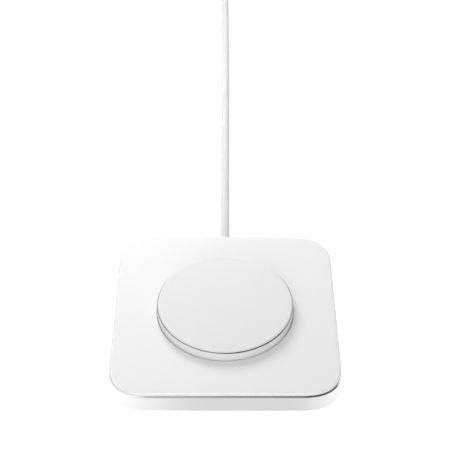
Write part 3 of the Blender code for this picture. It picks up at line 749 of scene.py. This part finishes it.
def makePuck():
    radius = puckHigh.x
    floorHigh = puckLow.z + puck["floor"]
    cup = disc("puckBody", radius, puckLow.z, puckHigh.z)
    soften(cup, puck["foot"], 3, rimAt(2, puckLow.z))
    soften(cup, puck["topEdge"], 2, rimAt(2, puckHigh.z))
    pick(cup, "faces", facing(2, 1, puckHigh.z))
    bpy.ops.mesh.inset(thickness=puck["wall"] - puck["topEdge"])
    pull(floorHigh - puckHigh.z)
    openThrough(cup, floorHigh, puckLow.z, radius - puck["wall"] - puck["leadHole"],
                radius - puck["foot"] - puck["leadHole"])
    bpy.ops.object.mode_set(mode="OBJECT")
    for number in range(1, 4):
        place = middleOf(f"puck_screw_{number}")[:2]
        combine(cup, rod(body["smallHole"], 0, floorHigh + gap, place, vertices=32), "DIFFERENCE")
    polish(cup, "soft_white_polymer", ["puck_housing"])

    ring = disc("puckTrim", radius, ringLow.z, ringHigh.z)
    chamfer = ringHigh.z - ringLow.z - puck["land"]
    pick(ring, "edges", rimAt(2, ringHigh.z))
    bpy.ops.mesh.bevel(offset=chamfer - puck["ringFlat"], segments=1, affect="EDGES")
    openThrough(ring, ringHigh.z, ringLow.z, puck["ringFlat"], chamfer)
    polish(ring, "polished_steel", ["puck_ring"], angle=25)
    # painted shade: the ring takes the darkened steel
    ring.data.materials[0] = ringSteelPaintedShade

    rimLow = ringLow.z
    outer = faceHigh.x
    skirt = radius - puck["wall"] - puck["skirtGap"]
    face = disc("puckFace", outer, rimLow, faceHigh.z)
    soften(face, puck["faceRound"], puck["roundSteps"], rimAt(2, faceHigh.z))
    pick(face, "faces", facing(2, -1, rimLow))
    bpy.ops.mesh.inset(thickness=outer - skirt)
    pull(faceLow.z - rimLow)
    bpy.ops.mesh.inset(thickness=puck["skirt"])
    pull(faceHigh.z - puck["thickness"] - faceLow.z)
    polish(face, "soft_white_polymer", ["puck_face"])


makePuck()


# Pieces that run along the cord are grown from one end face, section by section

def grow(sections, axisHeight):
    # sections are (distance along Y, half width, half height); the end face of the first is selected
    (lastY, lastWidth, lastHeight), *others = sections
    for y, width, height in others:
        pull(y - lastY, axis=1)
        bpy.ops.transform.resize(value=(width / lastWidth, 1, height / lastHeight),
                                 center_override=(0, y, axisHeight))
        lastY, lastWidth, lastHeight = y, width, height


sleeve = {
    "flange": 0.0016,
    "neck": 0.0022,
    "root": 0.0025,
    "waist": 0.00238,
    "bend": 0.35,           # share of the outer part before it narrows
    "tip": 0.0021,
    "bore": 0.00186,
    "boreDepth": 0.0022,
    "edge": 0.00012,
    "steps": 64,
}


def makeSleeve():
    flangeWidth = sleeveHigh.x
    flangeHeight = (plateHigh.z + bodyHigh.z - body["deck"]) / 2 - plateHigh.z - gap
    back, front = sleeveLow.y, sleeveHigh.y
    wallInside = half - body["wall"]
    outside = half + gap
    made = rod(flangeHeight, back, back + sleeve["flange"], (0, exitHeight), axis=1, vertices=sleeve["steps"])
    made.name = made.data.name = "cordSleeve"
    takeUp(made, edit=True)
    bpy.ops.mesh.select_all(action="SELECT")
    bpy.ops.transform.resize(value=(flangeWidth / flangeHeight, 1, 1), center_override=(0, back, exitHeight))
    pick(made, "faces", facing(1, 1, back + sleeve["flange"]))
    bend = sleeve["bend"] * (front - outside)
    grow([(back + sleeve["flange"], flangeWidth, flangeHeight),
          (back + sleeve["flange"] + tiny, flangeHeight, flangeHeight),
          (wallInside, sleeve["neck"], sleeve["neck"]),
          (outside, sleeve["neck"], sleeve["neck"]),
          (outside + tiny, sleeve["root"], sleeve["root"]),
          (outside + bend, sleeve["waist"], sleeve["waist"]),
          (front, sleeve["tip"], sleeve["tip"])], exitHeight)
    bpy.ops.mesh.inset(thickness=sleeve["tip"] - sleeve["bore"])
    pull(-sleeve["boreDepth"], axis=1)
    soften(made, sleeve["edge"], 3, lambda edge: rimAt(1, outside + tiny)(edge) or rimAt(1, front)(edge))
    polish(made, "soft_white_polymer", ["strain_relief"])
    return made


cordSleeve = makeSleeve()


# The strap that holds the coil: a closed band with its free end lapped over the outside

strap = {"thickness": 0.0005, "round": 0.0012, "steps": 8, "lap": 0.0075, "lapGap": 0.00008, "edge": 0.00012}


def makeStrap():
    low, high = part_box("cord_tie")
    middle, size = (low + high) / 2, high - low
    letGo()
    bpy.ops.mesh.primitive_cube_add(size=1, location=middle, scale=size)
    band = callIt("coilStrap")
    takeUp(band, edit=True)
    pick(band, "edges", lambda edge: abs(edge.verts[0].co.y - edge.verts[1].co.y) > tiny)
    bpy.ops.mesh.bevel(offset=strap["round"], segments=strap["steps"], profile=0.5, affect="EDGES")
    openThrough(band, high.y, low.y, strap["thickness"], strap["thickness"], axis=1)
    soften(band, strap["edge"], 2, lambda edge: rimAt(1, low.y)(edge) or rimAt(1, high.y)(edge))
    letGo()
    lapX = low.x - strap["lapGap"] - strap["thickness"] / 2
    bpy.ops.mesh.primitive_cube_add(size=1, location=(lapX, middle.y, middle.z),
                                    scale=(strap["thickness"], size.y, strap["lap"]))
    lap = callIt("strapEnd")
    takeUp(lap, edit=True)
    pick(lap, "edges", lambda edge: abs(edge.verts[0].co.x - edge.verts[1].co.x) > tiny
         and edge.verts[0].co.z > middle.z)
    bpy.ops.mesh.bevel(offset=0.4 * size.y, segments=strap["steps"], profile=0.5, affect="EDGES")
    soften(lap, strap["edge"], 2, rimAt(0, lapX - strap["thickness"] / 2))
    polish(lap, "grey_rubber", [])
    polish(band, "grey_rubber", ["cord_tie"])
    return band, lap


coilStrap, strapEnd = makeStrap()


# The plug: moulded body with its boot, steel shell, black lining and two rows of contacts

plug = {
    "boot": 0.0070,
    "bootTip": 0.00210,
    "bootRoot": 0.0027,
    "bootCollar": 0.0012,
    "bootOverlap": 0.0010,
    "bootNeck": (0.97, 0.92),   # shares of the root's width and height
    "bootFlat": 0.94,
    "ends": 0.98,               # how nearly round the shell's and the lining's sides are
    "bore": 0.00186,
    "boreDepth": 0.0020,
    "corner": 0.0024,
    "edge": 0.0006,
    "shellWall": 0.0003,
    "shellEdge": 0.0001,
    "contactPitch": 0.0005,
    "contactCount": 12,
    "contactSize": (0.00025, 0.0040, 0.00008),
    "contactInset": 0.0005,
    "contactEdge": 0.00003,
}


def lengthwise(name, low, high, corner, segments):
    # a bar along Y with rounded corners, left in edit mode
    letGo()
    bpy.ops.mesh.primitive_cube_add(size=1, location=(low + high) / 2, scale=high - low)
    made = callIt(name)
    takeUp(made, edit=True)
    pick(made, "edges", lambda edge: abs(edge.verts[0].co.y - edge.verts[1].co.y) > tiny)
    bpy.ops.mesh.bevel(offset=corner, segments=segments, profile=0.5, affect="EDGES")
    return made


def makePlug():
    bodyStart = plugLow.y + plug["boot"]
    start = Vector((plugLow.x, bodyStart, plugLow.z))
    moulded = lengthwise("plugMoulding", start, plugHigh, plug["corner"], 10)
    soften(moulded, plug["edge"], 4,
           lambda edge: rimAt(1, bodyStart)(edge) or rimAt(1, plugHigh.y)(edge))
    neckWidth, neckHeight = plug["bootNeck"]
    mouthEnd = plugLow.y + plug["bootCollar"]
    boot = rod(plug["bootTip"], plugLow.y, mouthEnd, (0, plugAxis), axis=1)
    takeUp(boot, edit=True)
    pick(boot, "faces", facing(1, 1))
    grow([(mouthEnd, plug["bootTip"], plug["bootTip"]),
          (bodyStart - plug["bootCollar"], neckWidth * plug["bootRoot"], neckHeight * plug["bootRoot"]),
          (bodyStart + plug["bootOverlap"], plug["bootRoot"], plug["bootFlat"] * plug["bootRoot"])],
         plugAxis)
    pick(boot, "faces", facing(1, -1, plugLow.y))
    bpy.ops.mesh.inset(thickness=plug["bootTip"] - plug["bore"])
    pull(plug["boreDepth"], axis=1)
    combine(moulded, boot, "UNION")
    polish(moulded, "soft_white_polymer", ["plug_body"])

    low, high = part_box("plug_shell")
    steel = lengthwise("plugSteel", low, high, plug["ends"] * (high.z - low.z) / 2, 14)
    pick(steel, "faces", facing(1, 1, high.y))
    bpy.ops.mesh.inset(thickness=plug["shellWall"])
    pull(low.y + plug["shellWall"] - high.y, axis=1)
    soften(steel, plug["shellEdge"], 2, rimAt(1, high.y))
    polish(steel, "nickel_plate", ["plug_shell"])

    low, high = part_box("plug_insert")
    lining = lengthwise("plugLining", low, high, plug["ends"] * (high.z - low.z) / 2, 12)
    pick(lining, "faces", facing(1, 1, high.y))
    bpy.ops.mesh.inset(thickness=plug["shellWall"])
    pull(low.y + plug["shellWall"] - high.y, axis=1)
    polish(lining, "black_epoxy", ["plug_insert"])

    size = Vector(plug["contactSize"])
    insideHigh = (high.z - low.z) / 2 - plug["shellWall"]
    letGo()
    bpy.ops.mesh.primitive_cube_add(size=1, scale=size)
    springs = [callIt("plugContacts")]
    takeUp(springs[0], edit=True)
    soften(springs[0], plug["contactEdge"], 1, lambda edge: True)
    bpy.ops.object.mode_set(mode="OBJECT")
    for number in range(plug["contactCount"]):
        across = (number - (plug["contactCount"] - 1) / 2) * plug["contactPitch"]
        for side in (-1, 1):
            takeUp(springs[0])
            bpy.ops.object.duplicate()
            copy = bpy.context.object
            copy.location = (across, high.y - plug["contactInset"] - size.y / 2,
                             plugAxis + side * (insideHigh - size.z / 4))
            springs.append(copy)
    bpy.data.objects.remove(springs.pop(0))
    letGo()
    for spring in springs:
        spring.select_set(True)
    bpy.context.view_layer.objects.active = springs[0]
    bpy.ops.object.join()
    contacts = callIt("plugContacts")
    polish(contacts, "nickel_plate", [])
    return moulded, steel, lining, contacts


plugPieces = makePlug()


# What stays from the frame is inside the pad and gets the finish that the record names

def dressInside():
    slots = {part["node"]: part["material_slot"] for part in frame["record"]["subparts"]}
    for name, node in frame["nodes"].items():
        if not node.hide_render:
            node.data.materials.clear()
            node.data.materials.append(finishes[slots[name]])


dressInside()


# Studio: white sweep, a soft key from behind on the left, a fill from in front, and the room around

studio = {
    "room": 0.545,
    "floorGlow": 1.0,
    # painted light: the sweep glows brighter on both sides of the pad, standing in for key light there and
    # the pad's shade in front: direction, glow, start and end of the change
    "paintedFloorLight": ((-1, 1.50, 0.006, 0.052), (1, 1.38, 0.025, 0.052)),
    "floorWidth": 12,
    "wallRadius": 1.5,
    "wallLow": 0.02,
    "wallHigh": 2.4,
    "wallDark": 0.10,       # the darkest part of the room, in front on the right
    "darkFrom": -27,        # degrees right of straight in front, from the first shade of it
    "darkFull": 14,
    "darkTo": 88,
    "darkEnd": 110,
}


def lightRoom():
    world = bpy.data.worlds.new("studioRoom")
    bpy.context.scene.world = world
    world.use_nodes = True
    world.node_tree.nodes["Background"].inputs["Color"].default_value = (1, 1, 1, 1)
    world.node_tree.nodes["Background"].inputs["Strength"].default_value = studio["room"]


lights = {
    # turn is in degrees to the left of straight behind; the first two light surfaces but aren't mirrored,
    # the last is only mirrored, as the bright line on rounded edges
    "softKey": {"turn": 23, "rise": 43, "distance": 0.35, "size": 0.22, "power": 0.66, "mirrored": False},
    "frontFill": {"turn": 174, "rise": 15, "distance": 0.6, "size": 0.45, "power": 1.30, "mirrored": False},
    "overhead": {"turn": 180, "rise": 73, "distance": 1.0, "size": 0.58, "power": 3.4, "mirrored": True},
}


def lightUp(name):
    facts = lights[name]
    turn, rise = math.radians(facts["turn"]), math.radians(facts["rise"])
    way = Vector((-math.sin(turn) * math.cos(rise), math.cos(turn) * math.cos(rise), math.sin(rise)))
    letGo()
    bpy.ops.object.light_add(type="AREA", location=way * facts["distance"],
                             rotation=way.to_track_quat("Z", "Y").to_euler())
    light = bpy.context.object
    light.name = name
    light.data.shape = "DISK"
    light.data.size = facts["size"]
    light.data.energy = facts["power"]
    light.visible_glossy = facts["mirrored"]
    light.visible_diffuse = not facts["mirrored"]


def layFloor():
    letGo()
    bpy.ops.mesh.primitive_plane_add(size=studio["floorWidth"], location=(0, 0, 0))
    sweep = callIt("whiteSweep")
    recipe = Recipe("whiteSweep", (0, 0, 0), 1)
    across = recipe.split(0)
    shade = studio["floorGlow"]
    # painted light on the sweep: brighter to the left and right of the pad, dimmer in front of it
    for side, brightest, start, end in studio["paintedFloorLight"]:
        shade = shade + (brightest - studio["floorGlow"]) * recipe.ramp(side * across, start, end)
    recipe.shine(shade)
    sweep.data.materials.append(recipe.material)


def standWall():
    # only reflections show this round wall: white, with the dark of the room in front on the right
    letGo()
    bpy.ops.mesh.primitive_cylinder_add(vertices=96, radius=studio["wallRadius"], end_fill_type="NOTHING",
                                        depth=studio["wallHigh"] - studio["wallLow"],
                                        location=(0, 0, (studio["wallHigh"] + studio["wallLow"]) / 2))
    wall = callIt("roomWall")
    recipe = Recipe("roomWall", (0, 0, 0), 1)
    turn = recipe.maths("ARCTAN2", recipe.split(0), 0 - recipe.split(1)) * (180 / math.pi)
    rise = recipe.ramp(turn, studio["darkFrom"], studio["darkFull"])
    fall = recipe.ramp(turn, studio["darkTo"], studio["darkEnd"])
    recipe.shine(1 - (1 - studio["wallDark"]) * rise * (1 - fall))
    wall.data.materials.append(recipe.material)
    wall.visible_camera = False
    wall.visible_diffuse = False
    wall.visible_shadow = False
    wall.visible_transmission = False


lightRoom()
for name in lights:
    lightUp(name)
layFloor()
standWall()
print("studio ready")
